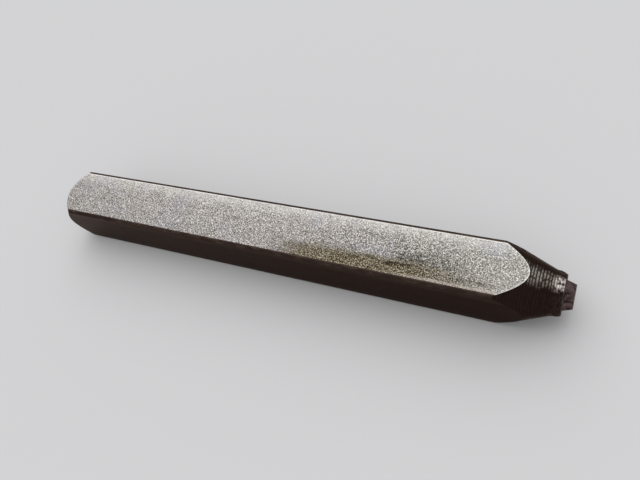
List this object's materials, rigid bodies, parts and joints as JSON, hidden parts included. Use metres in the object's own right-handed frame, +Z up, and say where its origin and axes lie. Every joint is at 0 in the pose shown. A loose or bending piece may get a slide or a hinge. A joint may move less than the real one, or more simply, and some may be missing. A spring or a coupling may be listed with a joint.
{
  "type": "number stamp",
  "caption": "Square steel hand stamp with a bevelled struck head and a turned taper that carries a raised, reversed numeral.",
  "frame": {"origin": "on the surface that the stamp lies on, under the middle of its length and width", "axes": "+X along the shank towards the figure, +Z up, normal to the flat that it lies on; the figure stands upright along +Z"},
  "size_m": [0.062, 0.0064, 0.0063],
  "materials": {
    "tool_steel": "satin, tumbled flats and an oily dark turned taper"
  },
  "bodies": {
    "root": {"number_stamp": "tool_steel"}
  },
  "joints": []
}
